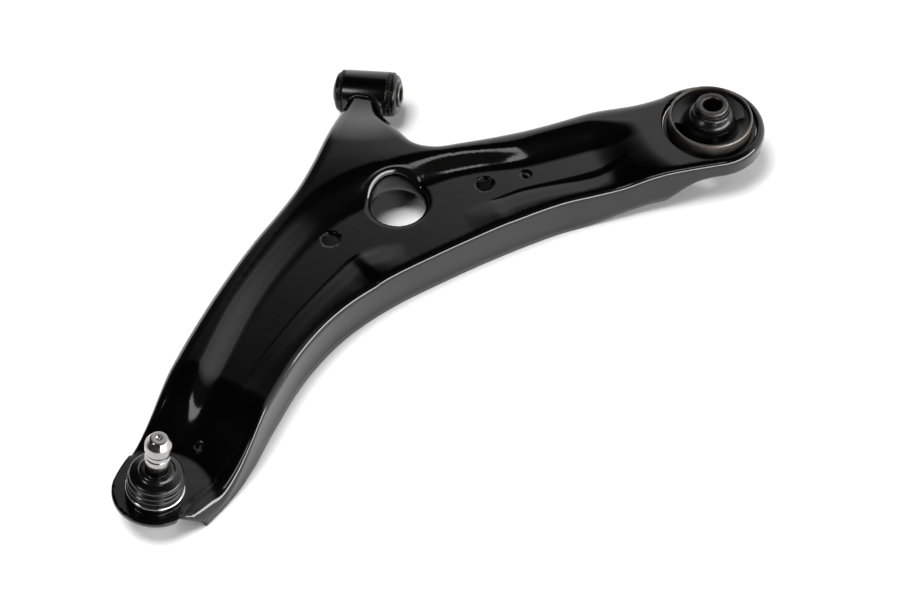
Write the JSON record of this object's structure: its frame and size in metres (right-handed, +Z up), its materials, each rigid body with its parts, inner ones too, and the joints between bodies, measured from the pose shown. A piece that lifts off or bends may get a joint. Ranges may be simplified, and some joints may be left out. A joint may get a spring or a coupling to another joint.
{
  "type": "automotive control arm",
  "caption": "Pressed steel front lower control arm with a horizontal front bush, a vertical rear bush and a booted ball joint.",
  "frame": {"origin": "middle of the arm's bounding box at the ground it stands on", "axes": "+Z up through the rear bush, +X along the front bush in plan towards the rear bush, +Y from the ball joint towards the bushes"},
  "size_m": [0.3934, 0.4433, 0.0772],
  "materials": {
    "black_paint": "gloss black electrocoat over pressed steel",
    "bare_steel": "dull brown-grey drawn tube, lightly oiled",
    "phosphated_steel": "grey phosphate coat",
    "bright_steel": "bright machined and polished",
    "zinc_plate": "pale zinc plate",
    "spring_steel": "dark spring steel",
    "bush_rubber": "moulded natural rubber, satin",
    "boot_rubber": "moulded rubber with a slight sheen",
    "moulded_plastic": "black moulded plastic",
    "nylon": "natural moulded bearing plastic"
  },
  "bodies": {
    "arm": {"arm_pressing": "black_paint", "front_eye_weld": "black_paint", "front_eye_tube": "black_paint", "front_bush_outer_sleeve": "bare_steel", "front_bush_end_ring_outer": "moulded_plastic", "front_bush_end_ring_inner": "moulded_plastic", "front_bush_rubber": "bush_rubber", "rear_bush_ring": "black_paint", "rear_bush_outer_sleeve": "bare_steel", "rear_bush_rubber": "bush_rubber", "ball_joint_housing": "zinc_plate", "ball_joint_end_cap": "zinc_plate", "ball_preload_washer": "spring_steel", "dust_boot": "boot_rubber", "boot_lower_ring": "bright_steel"},
    "ball_seat": {"ball_seat": "nylon"},
    "boot_top": {"boot_upper_ring": "spring_steel"},
    "stud": {"ball_stud": "bright_steel"},
    "front_inner": {"front_bush_inner_sleeve": "phosphated_steel"},
    "rear_inner": {"rear_bush_inner_sleeve": "phosphated_steel"}
  },
  "joints": [
    {"name": "front_bush_twist", "type": "hinge", "parent": "arm", "child": "front_inner", "pos_m": [-0.1021, 0.1808, 0.026], "axis": [0.9956, 0, 0.0941], "range_deg": [-20, 20], "stiffness_Nm_per_rad": 40},
    {"name": "rear_bush_tilt", "type": "hinge", "parent": "arm", "child": "rear_inner", "pos_m": [0.1559, 0.1808, 0.0317], "axis": [1, 0, 0], "range_deg": [-12, 12], "stiffness_Nm_per_rad": 60, "deforming": ["rear_bush_rubber"]},
    {"name": "ball_swing_direction", "type": "hinge", "parent": "arm", "child": "ball_seat", "pos_m": [-0.16968, -0.19421, 0.01558], "axis": [0.1355, 0.0782, 0.9877], "continuous": true},
    {"name": "ball_tilt", "type": "hinge", "parent": "ball_seat", "child": "boot_top", "pos_m": [-0.16968, -0.19421, 0.01558], "axis": [-0.5, 0.866, 0], "range_deg": [-28, 28], "deforming": ["dust_boot"]},
    {"name": "ball_spin", "type": "hinge", "parent": "boot_top", "child": "stud", "pos_m": [-0.16968, -0.19421, 0.01558], "axis": [0.1355, 0.0782, 0.9877], "continuous": true}
  ]
}
